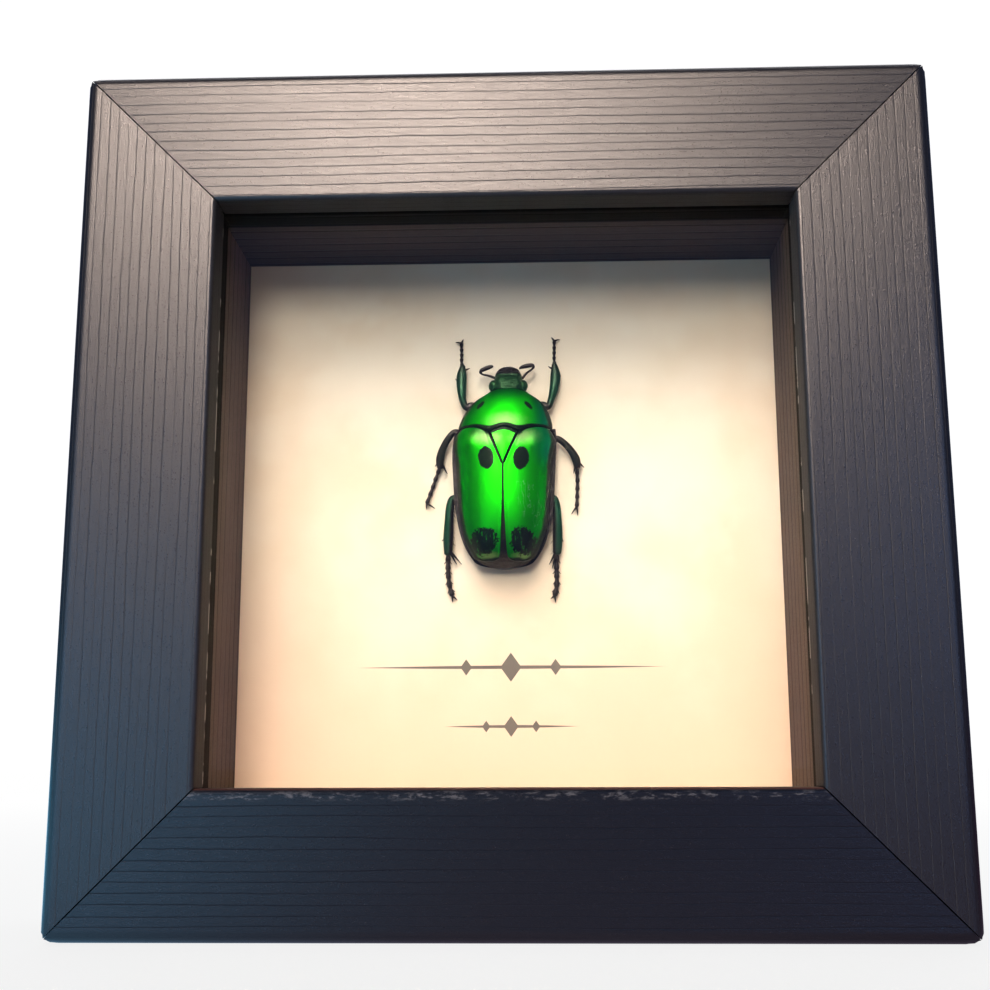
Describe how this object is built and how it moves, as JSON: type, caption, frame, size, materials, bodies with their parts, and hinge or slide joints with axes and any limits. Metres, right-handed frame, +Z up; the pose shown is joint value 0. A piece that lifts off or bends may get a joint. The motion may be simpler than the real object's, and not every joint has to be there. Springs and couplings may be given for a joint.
{
  "type": "framed beetle specimen",
  "caption": "Square shadow-box frame of dark stained wood with glass, a cream card and a brilliant green flower beetle fixed flat on the card, legs spread.",
  "frame": {"origin": "middle of the footprint, on the surface that the bottom rail stands on", "axes": "+Z up the picture, +X to the right seen from the front, the glass faces -Y"},
  "size_m": [0.114, 0.0362, 0.114],
  "materials": {
    "stained_wood": "open-grained wood stained black, satin, with the grain lines showing",
    "glass": "clear picture glass",
    "lining_wood": "dark brown-grey stained wood, matt, with fine dark grain lines",
    "parchment": "cream parchment card with faint pale clouds, matt",
    "hardboard": "smooth brown hardboard, matt",
    "steel": "thin zinc-plated steel",
    "green_shell": "polished metallic green shell with black spots and dark margins",
    "dark_shell": "dark green to brown-black shell, finely pitted",
    "leg_shell": "brown-black shell with a green sheen on the shins"
  },
  "bodies": {
    "root": {"rail_top": "stained_wood", "rail_bottom": "stained_wood", "rail_left": "stained_wood", "rail_right": "stained_wood", "glass_pane": "glass", "liner_top": "lining_wood", "liner_bottom": "lining_wood", "liner_left": "lining_wood", "liner_right": "lining_wood", "card": "parchment", "back_board": "hardboard", "tab_top": "steel", "tab_bottom": "steel", "tab_left": "steel", "tab_right": "steel", "sawtooth_hanger": "steel", "hanger_nail_left": "steel", "hanger_nail_right": "steel", "head": "dark_shell", "antenna_left": "leg_shell", "antenna_right": "leg_shell", "pronotum": "green_shell", "scutellum": "green_shell", "elytron_left": "green_shell", "elytron_right": "green_shell", "body": "dark_shell", "leg_front_left": "leg_shell", "leg_front_right": "leg_shell", "leg_middle_left": "leg_shell", "leg_middle_right": "leg_shell", "leg_hind_left": "leg_shell", "leg_hind_right": "leg_shell"}
  },
  "joints": []
}
